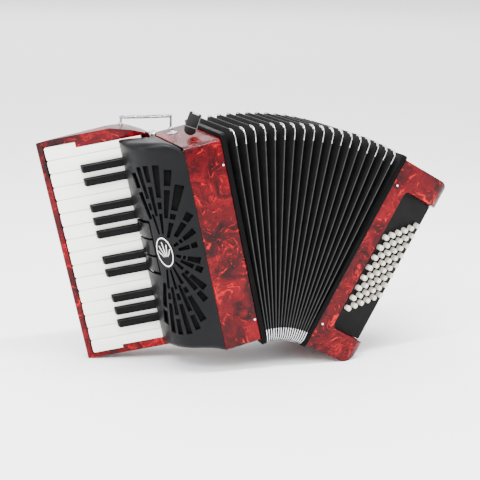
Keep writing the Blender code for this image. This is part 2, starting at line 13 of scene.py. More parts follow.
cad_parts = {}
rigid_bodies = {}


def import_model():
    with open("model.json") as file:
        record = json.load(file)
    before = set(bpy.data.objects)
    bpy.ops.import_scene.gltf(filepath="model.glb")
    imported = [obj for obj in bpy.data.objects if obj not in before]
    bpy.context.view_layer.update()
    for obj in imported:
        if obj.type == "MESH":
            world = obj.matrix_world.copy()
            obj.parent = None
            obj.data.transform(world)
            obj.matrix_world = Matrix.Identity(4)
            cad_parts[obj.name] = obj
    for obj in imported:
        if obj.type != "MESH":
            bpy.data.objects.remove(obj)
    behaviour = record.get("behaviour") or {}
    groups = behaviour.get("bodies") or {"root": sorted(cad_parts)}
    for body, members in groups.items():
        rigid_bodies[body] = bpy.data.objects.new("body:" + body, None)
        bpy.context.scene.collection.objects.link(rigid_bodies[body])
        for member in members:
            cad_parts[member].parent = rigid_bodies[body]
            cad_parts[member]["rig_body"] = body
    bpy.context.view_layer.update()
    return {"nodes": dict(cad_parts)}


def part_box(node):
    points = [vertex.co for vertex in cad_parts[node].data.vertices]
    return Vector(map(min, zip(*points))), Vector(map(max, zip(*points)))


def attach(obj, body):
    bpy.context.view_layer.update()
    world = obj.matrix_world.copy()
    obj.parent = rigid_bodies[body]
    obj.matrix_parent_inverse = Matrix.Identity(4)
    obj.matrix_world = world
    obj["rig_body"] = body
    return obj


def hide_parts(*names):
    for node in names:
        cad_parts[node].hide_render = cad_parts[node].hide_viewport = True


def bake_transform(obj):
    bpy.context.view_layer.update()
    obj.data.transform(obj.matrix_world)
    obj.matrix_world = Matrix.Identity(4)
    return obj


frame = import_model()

# ---------------------------------------------------------------- sizes, as in the CAD
MM = 0.001
LEAN = 12.55             # degrees the treble side leans towards the keyboard
DEPTH = 162.0
SHIFT_X = 3.05           # brings the middle of the instrument to x = 0
SHIFT_Z = 41.22          # brings its lowest corner to the floor
CASE_W = 53.0
CASE_LOW = 2.5
CASE_H = 297.0
WHITE_KEYS = 16
BLACK_KEYS = 10
KEY_U = -216.0           # the keys' front edge, across and back
KEY_V = 118.0
KEY_SLOPE = 19.7
FOLDS = 18
FOLD_TURN = 2.2          # degrees from one fold to the next, and their step at the bottom
FOLD_PITCH = 2.95
FRAME_W = 7.2
BELLOWS_LOW = -5.0
BELLOWS_TOP = 303.0
BELLOWS_OUT = 2.0
RING_AT = (2, 4, 6, 8, 10, 12, 14, 16)
BASS_W = 91.0            # at the top; the outer face slopes in towards the bottom
BASS_W_LOW = 81.0
BASS_H = 298.0
BASS_R = 23.0
BOARD_U = 22.0
BOARD_V = 3.0
BOARD_TURN = 25.0
BOARD_LEN = 75.0
BOARD_LOW = 38.0
BOARD_HIGH = 260.0
BUTTON_PITCH = 16.4
ROW_PITCH = 10.7
ROW_STEP = 7.55          # each row of buttons stands this much higher than the last
ROW_ONE_S = 11.0
ROW_ONE_W = 73.2
BUTTON_ROWS = 6
ROW_BUTTONS = 8
STRAP_HALF = 9.0
STRAP_AT = (-21.0, 62.0, 298.6)      # the strap tab's foot on the treble casing
STRAP_LEAN = 20.0
HAND_STRAP_V = 123.0
WHEEL_U, WHEEL_LOW, WHEEL_V = 54.0, 9.5, (115.4, 120.6)
AIR_V, AIR_Z = 62.0, 258.0


class Frame:
    """A point and three directions, for placing shapes given in millimetres."""

    def __init__(self, origin, x, y, z):
        self.o = Vector(origin)
        self.x = Vector(x)
        self.y = Vector(y)
        self.z = Vector(z)

    def mm(self, a, b, c):
        return self.o + self.x * a + self.y * b + self.z * c

    def at(self, a, b, c):
        return self.mm(a, b, c) * MM


def turned(origin, degrees):
    """A frame whose width direction is turned from +X towards +Z."""
    a = math.radians(degrees)
    return Frame(origin, (math.cos(a), 0, math.sin(a)), (0, 1, 0), (-math.sin(a), 0, math.cos(a)))


TREBLE = turned((SHIFT_X, -DEPTH / 2, SHIFT_Z), LEAN)
slope = math.radians(KEY_SLOPE)
KEYS = Frame(
    TREBLE.mm(KEY_U, KEY_V, 0),
    TREBLE.x * math.cos(slope) - TREBLE.y * math.sin(slope),
    -TREBLE.x * math.sin(slope) - TREBLE.y * math.cos(slope),
    TREBLE.z,
)
folds = [turned(TREBLE.mm(FRAME_W - FOLD_PITCH / 2, 0, BELLOWS_LOW), LEAN)]
for k in range(1, FOLDS + 2):
    half = math.radians(LEAN - FOLD_TURN * (k - 0.5))
    step = Vector((math.cos(half), 0, math.sin(half))) * FOLD_PITCH
    folds.append(turned(folds[-1].o + step, LEAN - FOLD_TURN * k))
BASS = Frame(
    folds[-1].mm(FRAME_W - FOLD_PITCH / 2, 0, -BELLOWS_LOW), folds[-1].x, folds[-1].y, folds[-1].z
)
bend = math.radians(BOARD_TURN)
BOARD = Frame(
    BASS.mm(BOARD_U, BOARD_V, 0),
    BASS.x * math.cos(bend) + BASS.y * math.sin(bend),
    BASS.x * math.sin(bend) - BASS.y * math.cos(bend),
    BASS.z,
)

# ---------------------------------------------------------------- materials


class Paint:
    """A Principled material and short ways to wire its nodes."""

    def __init__(self, name, colour=(0.5, 0.5, 0.5), rough=0.4, metal=0.0,
                 coat=0.0, coat_rough=0.03, shine=0.5):
        self.mat = bpy.data.materials.new(name)
        self.mat.use_nodes = True
        self.tree = self.mat.node_tree
        self.shader = self.tree.nodes["Principled BSDF"]
        self.set("Base Color", (*colour, 1.0))
        self.set("Roughness", rough)
        self.set("Metallic", metal)
        self.set("Coat Weight", coat)
        self.set("Specular IOR Level", shine)
        self.set("Coat Roughness", coat_rough)
        self.coords = self.tree.nodes.new("ShaderNodeTexCoord").outputs["Object"]

    def set(self, socket, value):
        self.shader.inputs[socket].default_value = value

    def link(self, out, into):
        self.tree.links.new(out, into)

    def drive(self, socket, out):
        self.link(out, self.shader.inputs[socket])

    def add(self, kind, inputs=(), **settings):
        node = self.tree.nodes.new("ShaderNode" + kind)
        for key, value in settings.items():
            setattr(node, key, value)
        for key, value in dict(inputs).items():
            if isinstance(value, bpy.types.NodeSocket):
                self.link(value, node.inputs[key])
            else:
                node.inputs[key].default_value = value
        return node

    def noise(self, scale, detail=3.0, distortion=0.0, vector=None, rough=0.5):
        inputs = {"Vector": vector or self.coords, "Scale": scale, "Detail": detail,
                  "Distortion": distortion, "Roughness": rough}
        return self.add("TexNoise", inputs).outputs["Fac"]

    def ramp(self, value, stops, interpolation="LINEAR"):
        """stops are (place, grey or colour)."""
        node = self.add("ValToRGB", {"Fac": value})
        node.color_ramp.interpolation = interpolation
        points = node.color_ramp.elements
        while len(points) < len(stops):
            points.new(0.5)
        for point, (place, colour) in zip(points, stops):
            point.position = place
            point.color = (*(colour if isinstance(colour, tuple) else (colour,) * 3), 1.0)
        return node.outputs["Color"]

    def mix(self, share, a, b, blend="MIX"):
        node = self.add("Mix", data_type="RGBA", blend_type=blend)
        for socket, value in ((node.inputs[0], share), (node.inputs[6], a), (node.inputs[7], b)):
            if isinstance(value, bpy.types.NodeSocket):
                self.link(value, socket)
            elif isinstance(value, tuple):
                socket.default_value = (*value, 1.0)
            else:
                socket.default_value = value
        return node.outputs[2]

    def bump(self, height, strength, distance):
        node = self.add("Bump", {"Height": height, "Strength": strength, "Distance": distance})
        self.drive("Normal", node.outputs["Normal"])

    def stretched(self, x, y, z):
        return self.add("Mapping", {"Vector": self.coords, "Scale": (x, y, z)}).outputs["Vector"]


def red_pearl():
    """Pearl celluloid: swirled bright and dark flakes under a deep clear gloss."""
    p = Paint("red_pearl", rough=0.25, coat=0.16, shine=0.05)
    swirl = p.add("TexNoise", {"Vector": p.coords, "Scale": 26.0, "Detail": 2.0}).outputs["Color"]
    shift = p.add("VectorMath", {0: swirl, 1: (0.5, 0.5, 0.5)}, operation="SUBTRACT").outputs[0]
    shift = p.add("VectorMath", {0: shift, "Scale": 0.075}, operation="SCALE").outputs[0]
    bent = p.add("VectorMath", {0: p.coords, 1: shift}, operation="ADD").outputs[0]
    clouds = p.noise(22.0, 4.0, 0.6, bent, 0.55)
    flakes = p.noise(62.0, 5.0, 1.4, bent, 0.6)
    colour = p.ramp(clouds, [(0.34, (0.008, 0.0, 0.0005)), (0.45, (0.040, 0.0, 0.0015)),
                             (0.56, (0.085, 0.0, 0.0025)), (0.68, (0.15, 0.0, 0.003))])
    bright = p.ramp(flakes, [(0.57, 0.0), (0.63, 0.55), (0.70, 1.0)])
    colour = p.mix(bright, colour, (0.42, 0.002, 0.004))
    veins = p.ramp(p.noise(30.0, 3.0, 2.6, bent, 0.5), [(0.44, 1.0), (0.495, 0.05), (0.55, 1.0)])
    patches = p.ramp(p.noise(11.0, 2.0), [(0.42, 1.0), (0.58, 0.0)])
    veins = p.mix(patches, veins, (1.0, 1.0, 1.0))
    colour = p.mix(0.85, colour, veins, "MULTIPLY")
    p.drive("Base Color", colour)
    p.bump(flakes, 0.35, 0.004)
    return p.mat


def satin(name, colour, rough, spread=0.06, grain=0.06, coat=0.0, shine=0.3):
    """Moulded plastic with a fine grain and slight changes of sheen."""
    p = Paint(name, colour, rough, coat=coat, coat_rough=0.12, shine=shine)
    p.drive("Roughness", p.ramp(p.noise(60.0, 3.0), [(0.3, rough - spread), (0.7, rough + spread)]))
    lift = tuple(min(c * 1.18 + 0.002, 1.0) for c in colour)
    p.drive("Base Color", p.mix(p.noise(24.0, 2.0), colour, lift))
    p.bump(p.noise(1500.0, 2.0), grain, 0.0004)
    return p.mat


def ivory(name, colour, rough):
    """White key and button plastic with the faintest warm clouds."""
    p = Paint(name, colour, rough, coat=0.4, coat_rough=0.06)
    warm = (colour[0], colour[1] * 0.985, colour[2] * 0.95)
    clouds = p.ramp(p.noise(30.0, 3.0), [(0.35, 0.0), (0.7, 1.0)])
    p.drive("Base Color", p.mix(clouds, colour, warm))
    p.bump(p.noise(700.0, 2.0), 0.03, 0.0003)
    return p.mat


def cloth(name, colour, rough=0.8):
    """Bellows cloth: a fine linen weave with hardly any shine."""
    p = Paint(name, colour, rough, shine=0.12)
    threads = {"Vector": p.coords, "Scale": 520.0, "Distortion": 0.6}
    warp = p.add("TexWave", threads, bands_direction="Z")
    weft = p.add("TexWave", threads, bands_direction="DIAGONAL")
    weave = p.mix(0.5, warp.outputs["Color"], weft.outputs["Color"])
    lift = tuple(c * 1.9 + 0.003 for c in colour)
    p.drive("Base Color", p.mix(p.noise(70.0, 4.0), colour, lift))
    p.bump(weave, 0.25, 0.0004)
    return p.mat


def leather():
    """Black strap leather with small pebbles and soft creases."""
    p = Paint("black_leather", (0.006, 0.0056, 0.0056), 0.42, shine=0.3)
    cells = p.add("TexVoronoi", {"Vector": p.coords, "Scale": 620.0}, feature="SMOOTH_F1")
    creases = p.noise(160.0, 4.0, 0.8)
    p.drive("Roughness", p.ramp(creases, [(0.3, 0.34), (0.7, 0.55)]))
    p.bump(p.mix(0.35, cells.outputs["Distance"], creases), 0.5, 0.0006)
    return p.mat


def chrome():
    """Polished metal, a little clouded by handling."""
    p = Paint("polished_chrome", (0.60, 0.61, 0.63), 0.1, metal=1.0)
    p.drive("Roughness", p.ramp(p.noise(180.0, 4.0), [(0.3, 0.06), (0.75, 0.17)]))
    return p.mat


def brushed():
    """Darker steel with fine brushing."""
    p = Paint("brushed_steel", (0.30, 0.30, 0.32), 0.2, metal=1.0)
    brushing = p.noise(300.0, 3.0, 0.0, p.stretched(1, 1, 12))
    p.drive("Roughness", p.ramp(brushing, [(0.3, 0.16), (0.7, 0.3)]))
    return p.mat


def wood(name, light, dark):
    """Bare wood with its grain along Z."""
    p = Paint(name, light, 0.55)
    grain = p.noise(90.0, 5.0, 0.5, p.stretched(1, 1, 0.12))
    p.drive("Base Color", p.ramp(grain, [(0.35, dark), (0.65, light)]))
    p.bump(grain, 0.15, 0.0005)
    return p.mat


RED = red_pearl()
GRAPHITE = satin("graphite_plastic", (0.0026, 0.0027, 0.0033), 0.38, shine=0.09)
BLACK = satin("black_plastic", (0.0016, 0.0016, 0.0018), 0.42, shine=0.03)
EBONY = satin("black_key_plastic", (0.0024, 0.0023, 0.0026), 0.34, shine=0.04)
TAB_BLACK = satin("tab_plastic", (0.0025, 0.0025, 0.003), 0.25, shine=0.1)
WHITE = ivory("white_key_plastic", (0.90, 0.895, 0.865), 0.26)
CREAM = ivory("button_plastic", (0.60, 0.57, 0.50), 0.30)
PANEL = cloth("bellows_cloth", (0.0016, 0.0016, 0.0017))
# Bellows ridge tape: a real cloth tape, coloured lighter grey than the panels as a painted
# highlight along the crests.
RIDGE_TAPE_HIGHLIGHT = cloth("bellows_tape_painted_highlight", (0.014, 0.0143, 0.0146), 0.62)
VOID = cloth("grille_cloth", (0.0006, 0.0006, 0.0006), 0.95)
LEATHER = leather()
CHROME = chrome()
STEEL = brushed()
KEY_WOOD = wood("key_wood", (0.56, 0.44, 0.28), (0.42, 0.31, 0.18))
PALE_WOOD = wood("reed_wood", (0.50, 0.36, 0.20), (0.36, 0.24, 0.12))
THREAD = satin("strap_thread", (0.10, 0.10, 0.10), 0.7)
EMBLEM_WHITE = ivory("emblem_white", (0.85, 0.86, 0.87), 0.25)


def finish(name, bm, mats, body, replaces=(), smooth=35.0):
    """Turn a bmesh in world metres into a piece that rides on a body."""
    bmesh.ops.recalc_face_normals(bm, faces=bm.faces)
    mesh = bpy.data.meshes.new(name)
    bm.to_mesh(mesh)
    bm.free()
    for mat in mats if isinstance(mats, (list, tuple)) else (mats,):
        mesh.materials.append(mat)
    mesh.shade_smooth()
    mesh.set_sharp_from_angle(angle=math.radians(smooth))
    obj = bpy.data.objects.new(name, mesh)
    bpy.context.scene.collection.objects.link(obj)
    if body:
        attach(obj, body)
    if replaces:
        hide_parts(*replaces)
    return obj


def bevel(obj, width, segments=3, angle=35.0):
    """Round the edges sharper than an angle by a width in millimetres."""
    mod = obj.modifiers.new("rounded_edges", "BEVEL")
    mod.width = width * MM
    mod.segments = segments
    mod.limit_method = "ANGLE"
    mod.angle_limit = math.radians(angle)
    mod.harden_normals = True
    return obj


def cut(obj, bm, operation="DIFFERENCE"):
    """Apply a boolean with a bmesh in world metres."""
    bmesh.ops.recalc_face_normals(bm, faces=bm.faces)
    mesh = bpy.data.meshes.new("cutter")
    bm.to_mesh(mesh)
    bm.free()
    other = bpy.data.objects.new("cutter", mesh)
    bpy.context.scene.collection.objects.link(other)
    mod = obj.modifiers.new("cut", "BOOLEAN")
    mod.operation = operation
    mod.solver = "EXACT"
    mod.object = other
    settle(obj)
    bpy.data.objects.remove(other)
    return obj


def settle(obj):
    """Apply all modifiers."""
    bpy.context.view_layer.update()
    graph = bpy.context.evaluated_depsgraph_get()
    done = bpy.data.meshes.new_from_object(obj.evaluated_get(graph))
    obj.modifiers.clear()
    obj.data = done
    return obj


def resmooth(obj, angle=35.0):
    """Smooth the shading again after a boolean."""
    obj.data.shade_smooth()
    obj.data.set_sharp_from_angle(angle=math.radians(angle))
    return obj


def solid_of(node):
    """A CAD solid with its corners welded and its flat faces whole again."""
    bm = bmesh.new()
    bm.from_mesh(frame["nodes"][node].data)
    bmesh.ops.remove_doubles(bm, verts=bm.verts, dist=0.00001)
    bmesh.ops.dissolve_limit(bm, angle_limit=math.radians(0.6), verts=bm.verts, edges=bm.edges)
    return bm


def body_of(node):
    return frame["nodes"][node]["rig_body"]


def refined(node, mats, width, segments=3, angle=35.0):
    """The CAD solid again, with its sharp edges rounded."""
    obj = finish(node + "_finish", solid_of(node), mats, body_of(node), (node,))
    return bevel(obj, width, segments, angle)


def paint(node, mat):
    """Show a CAD solid as it is, in another material."""
    obj = frame["nodes"][node]
    obj.data.materials.clear()
    obj.data.materials.append(mat)


def loft(bm, loops, closed=True, caps=True, mats=None):
    """Join loops of points with faces. mats gives each band's material number."""
    rows = [[bm.verts.new(p) for p in pts] for pts in loops]
    n = len(rows[0])
    for j, (a, b) in enumerate(zip(rows, rows[1:])):
        for i in range(n if closed else n - 1):
            k = (i + 1) % n
            face = bm.faces.new((a[i], a[k], b[k], b[i]))
            if mats:
                face.material_index = mats[j]
    if caps and closed:
        bm.faces.new(rows[0][::-1])
        bm.faces.new(rows[-1])
    return rows


def prism(bm, place, axes, outline, low, high):
    """Extrude an outline in two of the frame's directions along the third."""
    loops = []
    for end in (low, high):
        pts = []
        for p in outline:
            c = {axes[0]: p[0], axes[1]: p[1], axes[2]: end}
            pts.append(place.at(c["x"], c["y"], c["z"]))
        loops.append(pts)
    loft(bm, loops)


def box(bm, place, x, y, z):
    prism(bm, place, "xyz", [(x[0], y[0]), (x[1], y[0]), (x[1], y[1]), (x[0], y[1])], *z)


def rounded(y, z, radii, steps=8):
    """A rectangle whose corners (low-low, high-low, high-high, low-high) are rounded."""
    corners = ((y[0], z[0], 180), (y[1], z[0], 270), (y[1], z[1], 0), (y[0], z[1], 90))
    pts = []
    for (cy, cz, turn), r in zip(corners, radii):
        my = cy + r if cy == y[0] else cy - r
        mz = cz + r if cz == z[0] else cz - r
        for i in range(steps + 1):
            a = math.radians(turn + 90 * i / steps)
            pts.append((my + r * math.cos(a), mz + r * math.sin(a)))
    return pts


def turned_shape(bm, base, along, profile, sides=24, squash=(1.0, 1.0), side=None):
    """A profile of (radius, height) in millimetres, turned about a line from base."""
    along = along.normalized()
    u = (side or (Vector((0, 0, 1)) if abs(along.z) < 0.9 else Vector((1, 0, 0)))).normalized()
    u = (u - along * u.dot(along)).normalized()
    v = along.cross(u)
    loops = []
    for r, h in profile:
        pts = []
        for i in range(sides):
            a = 2 * math.pi * i / sides
            turn = u * math.cos(a) * r * squash[0] + v * math.sin(a) * r * squash[1]
            pts.append(base + (turn + along * h) * MM)
        loops.append(pts)
    loft(bm, loops)


def tube(bm, points, r, sides=12, closed=False):
    """A round wire through points in metres."""
    n = len(points)
    loops = []
    for i, p in enumerate(points):
        before = points[i - 1] if closed or i else p
        after = points[(i + 1) % n] if closed or i < n - 1 else p
        along = (after - before).normalized()
        helper = Vector((0, 0, 1)) if abs(along.z) < 0.9 else Vector((0, 1, 0))
        across = along.cross(helper).normalized()
        up = across.cross(along)
        loops.append([p + (across * math.cos(a) + up * math.sin(a)) * r * MM
                      for a in (2 * math.pi * j / sides for j in range(sides))])
    if closed:
        loops.append(loops[0])
        rows = loft(bm, loops[:-1], caps=False)
        for j in range(sides):
            k = (j + 1) % sides
            bm.faces.new((rows[-1][j], rows[-1][k], rows[0][k], rows[0][j]))
    else:
        loft(bm, loops)


def curve_points(points, steps=8, closed=False):
    """A smooth Catmull-Rom line through points."""
    n = len(points)
    out = []
    spans = n if closed else n - 1
    for i in range(spans):
        p1, p2 = points[i], points[(i + 1) % n]
        p0 = points[i - 1] if closed or i else p1 * 2 - p2
        p3 = points[(i + 2) % n] if closed or i + 2 < n else p2 * 2 - p1
        for s in range(steps):
            t = s / steps
            out.append(0.5 * ((2 * p1) + (p2 - p0) * t + (2 * p0 - 5 * p1 + 4 * p2 - p3) * t * t
                              + (3 * p1 - p0 - 3 * p2 + p3) * t ** 3))
    if not closed:
        out.append(points[-1])
    return out


# ---------------------------------------------------------------- treble casing and bed
def treble_casing():
    """The four walls of the reed chamber, rounded along their outer edges."""
    outer = rounded((0, DEPTH), (CASE_LOW, CASE_H), (5, 5, 5, 9), 9)
    inner = rounded((5, DEPTH - 5), (CASE_LOW + 5, CASE_H - 5), (0.5, 0.5, 0.5, 0.5), 9)
    bm = bmesh.new()
    walk = ((-CASE_W, outer), (0, outer), (0, inner), (-CASE_W, inner), (-CASE_W, outer))
    loft(bm, [[TREBLE.at(u, v, w) for v, w in outline] for u, outline in walk], caps=False)
    bmesh.ops.remove_doubles(bm, verts=bm.verts, dist=0.000001)
    obj = finish("treble_casing_finish", bm, RED, "treble", ("treble_casing",))
    bevel(obj, 0.9)


treble_casing()
refined("keyboard_bed", RED, 1.1)


# ---------------------------------------------------------------- keys
def key_parts(node):
    """A key's solid, and ways to read a point in the key plane's directions."""
    bm = solid_of(node)

    def local(p):
        d = p / MM - KEYS.o
        return d.dot(KEYS.x), d.dot(KEYS.y), d.dot(KEYS.z)
    return bm, local


def white_key(node):
    """White plastic over a wooden key, with rounded front corners."""
    bm, local = key_parts(node)
    corners = [e for e in bm.edges if all(local(v.co)[0] < 0.5 for v in e.verts)
               and abs(local(e.verts[0].co)[1] - local(e.verts[1].co)[1]) > 5]
    bmesh.ops.bevel(bm, geom=corners, offset=2.6 * MM, segments=5, affect="EDGES", profile=0.5)
    top = [e for e in bm.edges if e.calc_face_angle(0) > 0.6
           and all(abs(local(v.co)[1]) < 0.05 and local(v.co)[0] < 134.2 for v in e.verts)]
    bmesh.ops.bevel(bm, geom=top, offset=0.55 * MM, segments=2, affect="EDGES", profile=0.6)
    everything = bm.verts[:] + bm.edges[:] + bm.faces[:]
    bmesh.ops.bisect_plane(bm, geom=everything, plane_co=KEYS.at(0, -2.4, 0), plane_no=KEYS.y)
    for face in bm.faces:
        s, t, _ = local(face.calc_center_median())
        face.material_index = 0 if t > -2.5 or (s < 3.0 and t > -11) else 1
    return finish(node + "_finish", bm, [WHITE, KEY_WOOD], node, (node,), 32)


def black_key(node):
    """A black key tapers a little towards its top."""
    bm, local = key_parts(node)
    heights = [local(v.co)[2] for v in bm.verts if local(v.co)[1] > 2]
    middle = (min(heights) + max(heights)) / 2
    for v in bm.verts:
        _, t, w = local(v.co)
        if t > 2:
            v.co -= KEYS.z * (0.55 * t / 8 * (1 if w > middle else -1)) * MM
    top = [e for e in bm.edges
           if e.calc_face_angle(0) > 0.3 and all(local(v.co)[1] > 2 for v in e.verts)]
    bmesh.ops.bevel(bm, geom=top, offset=0.8 * MM, segments=3, affect="EDGES", profile=0.5)
    for face in bm.faces:
        face.material_index = 0 if local(face.calc_center_median())[0] < 136 else 1
    return finish(node + "_finish", bm, [EBONY, KEY_WOOD], node, (node,), 32)


for i in range(1, WHITE_KEYS + 1):
    white_key("white_key_%02d" % i)
for i in range(1, BLACK_KEYS + 1):
    black_key("black_key_%02d" % i)

# ---------------------------------------------------------------- grille
GRILLE_EDGE = -53.3      # width where the curved face meets the casing
GRILLE_A = 67.7
GRILLE_BACK = 73.0
GRILLE_POWER = 2.7
GRILLE_THICK = 2.6
GRILLE_FILLET = 9.0      # largest rounding along the top and bottom
LINING_DEEP = 5.5


def face_curve(t):
    """Width and depth on the grille's face, from the casing's edge (0) to the keys (1)."""
    a = min(max(t, 0.0), 1.0) * math.pi / 2
    x = max(math.sin(a), 0.0) ** (2 / GRILLE_POWER)
    y = max(math.cos(a), 0.0) ** (2 / GRILLE_POWER)
    return GRILLE_EDGE - GRILLE_A * x, GRILLE_BACK - (GRILLE_BACK - 0.3) * y


def face_table(count=400):
    """Places on the curve at even steps of t, with the length walked so far."""
    table = [(0.0, *face_curve(0.0))]
    for i in range(1, count + 1):
        u, v = face_curve(i / count)
        table.append((table[-1][0] + math.hypot(u - table[-1][1], v - table[-1][2]), u, v))
    return table


FACE = face_table()
FACE_LEN = FACE[-1][0]


def face_place(length):
    """Width, depth and inward direction at a length along the face."""
    length = min(max(length, 0.0), FACE_LEN)
    low = 0
    while low < len(FACE) - 2 and FACE[low + 1][0] < length:
        low += 1
    (s0, u0, v0), (s1, u1, v1) = FACE[low], FACE[low + 1]
    share = (length - s0) / max(s1 - s0, 1e-9)
    near, far = FACE[max(low - 4, 0)], FACE[min(low + 5, len(FACE) - 1)]
    du, dv = far[1] - near[1], far[2] - near[2]
    size = math.hypot(du, dv)
    return u0 + (u1 - u0) * share, v0 + (v1 - v0) * share, dv / size, -du / size


def grille_top(u):
    """The cover's upper edge, falling away towards the keys."""
    x = (u - GRILLE_EDGE) / GRILLE_A + 1.0
    return 315.0 - 7.0 * x - 15.0 * max(x, 0.0) ** 5


def grille_low(u):
    """The cover's lower edge."""
    x = (u - GRILLE_EDGE) / GRILLE_A + 1.0
    return 17.0 - 3.0 * x - 11.5 * max(x, 0.0) ** 3


def skin(length, w, depth=0.0):
    """A point on the grille's face, or depth millimetres inside it."""
    u, v, nu, nv = face_place(length)
    return TREBLE.at(u + nu * depth, v + nv * depth, w)


def grille_columns(count):
    """Even steps of length along the face."""
    return [FACE_LEN * (i / count) for i in range(count + 1)]


def cap_back(u):
    """How far back the top and bottom caps reach: to the bed, clear of the keys' rear ends."""
    if u < -79:
        return 61 + 13.5 * (-79 - u) / 42
    return 93 - 32 * max(-73 - u, 0.0) / 6


def grille_column(length, rows):
    """Points from the lower cap's rear edge up the face to the upper cap's rear edge."""
    u, v, nu, nv = face_place(length)
    low, top = grille_low(u), grille_top(u)
    r = min(GRILLE_FILLET, 1.5 + 12 * (1 - length / FACE_LEN) ** 0.5)
    turns = [math.pi / 2 * i / 6 for i in range(7)]

    def inward(share):
        return u + nu * r * share, v + nv * r * share
    lower = [(*inward(1 - math.sin(a)), low + r * (1 - math.cos(a))) for a in turns]
    body = [(u, v, low + r + (top - low - 2 * r) * i / rows) for i in range(1, rows)]
    upper = [(*inward(1 - math.cos(a)), top - r * (1 - math.sin(a))) for a in turns]
    inside_u, inside_v = inward(1)
    back = max(cap_back(inside_u), inside_v + 0.5)
    lower_cap = [(inside_u, back + (inside_v - back) * i / 4, low) for i in range(4)]
    upper_cap = [(inside_u, inside_v + (back - inside_v) * i / 4, top) for i in range(1, 5)]
    return [TREBLE.at(*p) for p in lower_cap + lower + body + upper + upper_cap]


# Directions of the ray slots round the emblem, in degrees up from the casing's side.
RAY_TURNS = (-106, -98, -92, -85.5, -79, -73, -62, -54, -38, -25,
             3, 26, 46, 66, 76, 84, 91, 97, 104)
# Every other ray starts at the emblem and the ones between start further out.
SLOT_CUTS = (((0.42, 0.76), (0.81, 1.0)), ((0.21, 0.45), (0.50, 0.58), (0.63, 1.0)))
SLOT_REACH = (46.0, 122.0)
SLOT_SHARE = 0.27        # half a slot's width for each step between rays


def length_at(t):
    """The length walked along the face at a share of its curve."""
    return FACE[int(t * (len(FACE) - 1))][0]


EMBLEM = (length_at(0.475), 161.3)
EMBLEM_HALF = (11.8, 21.5)


def slot_shapes():
    """Ray slots as (direction, near, far, half width per length) on the unrolled face."""
    found = []
    for i, turn in enumerate(RAY_TURNS):
        a = math.radians(turn)
        d = Vector((math.cos(a), math.sin(a)))
        reach = (abs(d.x / SLOT_REACH[0]) ** 3 + abs(d.y / SLOT_REACH[1]) ** 3) ** (-1 / 3)
        beside = [abs(t - turn) for t in RAY_TURNS if t != turn]
        spread = math.radians(sum(sorted(beside)[:2]) / 2) * SLOT_SHARE
        clear = 3.0 + 1.0 / math.hypot(d.x / EMBLEM_HALF[0], d.y / EMBLEM_HALF[1])
        for near, far in SLOT_CUTS[i % 2]:
            found.append((d, max(reach * near, clear), reach * far, min(spread, 0.085)))
    return found


def slot_cutter(bm, d, near, far, spread):
    """One slot as a wedge that follows the curved face, wider at its far end."""
    steps = max(2, int((far - near) / 8))
    side = Vector((-d.y, d.x))
    loops = []
    for i in range(steps + 1):
        r = near + (far - near) * i / steps
        half = 0.45 + spread * r
        loop = []
        for depth, sign in ((-4, -1), (-4, 1), (4.5, 1), (4.5, -1)):
            x, y = d * r + side * half * sign
            loop.append(skin(EMBLEM[0] - x, EMBLEM[1] + y, depth))
        loops.append(loop)
    loft(bm, loops)


def grille():
    """The curved cover with its ray slots, and the dark cloth behind them."""
    bm = bmesh.new()
    columns = [grille_column(s, 44) for s in grille_columns(48)]
    loft(bm, columns, closed=False, caps=False)
    obj = finish("treble_grille_finish", bm, GRAPHITE, None)
    shell = obj.modifiers.new("shell", "SOLIDIFY")
    shell.thickness = GRILLE_THICK * MM
    shell.offset = -1.0
    shell.use_even_offset = True
    settle(obj)
    bm = bmesh.new()
    for shape in slot_shapes():
        slot_cutter(bm, *shape)
    cut(obj, bm)
    bm = bmesh.new()
    prism(bm, TREBLE, "xyz", [(-128, 28), (-104, 28), (-104, 78), (-128, 78)], 127, 206)
    cut(obj, bm)
    resmooth(obj, 30)
    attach(obj, "treble")
    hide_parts("treble_grille")
    bm = bmesh.new()
    heights = [22 + 268 * j / 10 for j in range(11)]
    lining = [[skin(s, w, LINING_DEEP) for w in heights] for s in grille_columns(24)[:-2]]
    loft(bm, lining, closed=False, caps=False)
    finish("grille_lining", bm, VOID, "treble")


grille()


def emblem():
    """An oval badge with a ring and a plain fan of bars."""
    u, v, nu, nv = face_place(EMBLEM[0])
    base = TREBLE.at(u, v, EMBLEM[1])
    out = (TREBLE.x * -nu + TREBLE.y * -nv).normalized()
    lean = (TREBLE.z + TREBLE.y.cross(TREBLE.z) * -0.12).normalized()
    half_w, half_h = EMBLEM_HALF
    bm = bmesh.new()
    plate = [(1.0, -3.5), (1.0, 0.6), (0.97, 1.0), (0.5, 1.1)]
    turned_shape(bm, base, out, plate, 40, (half_h, half_w), lean)
    finish("emblem_plate", bm, GRAPHITE, "treble")
    bm = bmesh.new()
    ring = [(0.985, 0.8), (0.985, 1.45), (0.965, 1.6), (0.935, 1.6), (0.92, 1.45), (0.92, 0.8)]
    turned_shape(bm, base, out, ring, 48, (half_h, half_w), lean)
    finish("emblem_ring", bm, EMBLEM_WHITE, "treble")
    bm = bmesh.new()
    side = out.cross(lean).normalized()
    root = base + (out * 1.2 - lean * half_h * 0.55) * MM
    for turn in (-44, -22, 0, 22, 44):
        a = math.radians(turn)
        reach = half_h * (1.25 - 0.006 * abs(turn))
        tip = root + (lean * math.cos(a) + side * math.sin(a) * 0.62) * reach * MM
        tube(bm, [root.lerp(tip, 0.18), root.lerp(tip, 0.5), tip], 0.5, 8)
    finish("emblem_fan", bm, EMBLEM_WHITE, "treble")


emblem()


# ---------------------------------------------------------------- register tabs, screw, bracket
def register_tabs():
    """Three rocking tabs on the grille's front."""
    for i in range(1, 4):
        refined("register_tab_%d" % i, TAB_BLACK, 0.7, 2, 25)


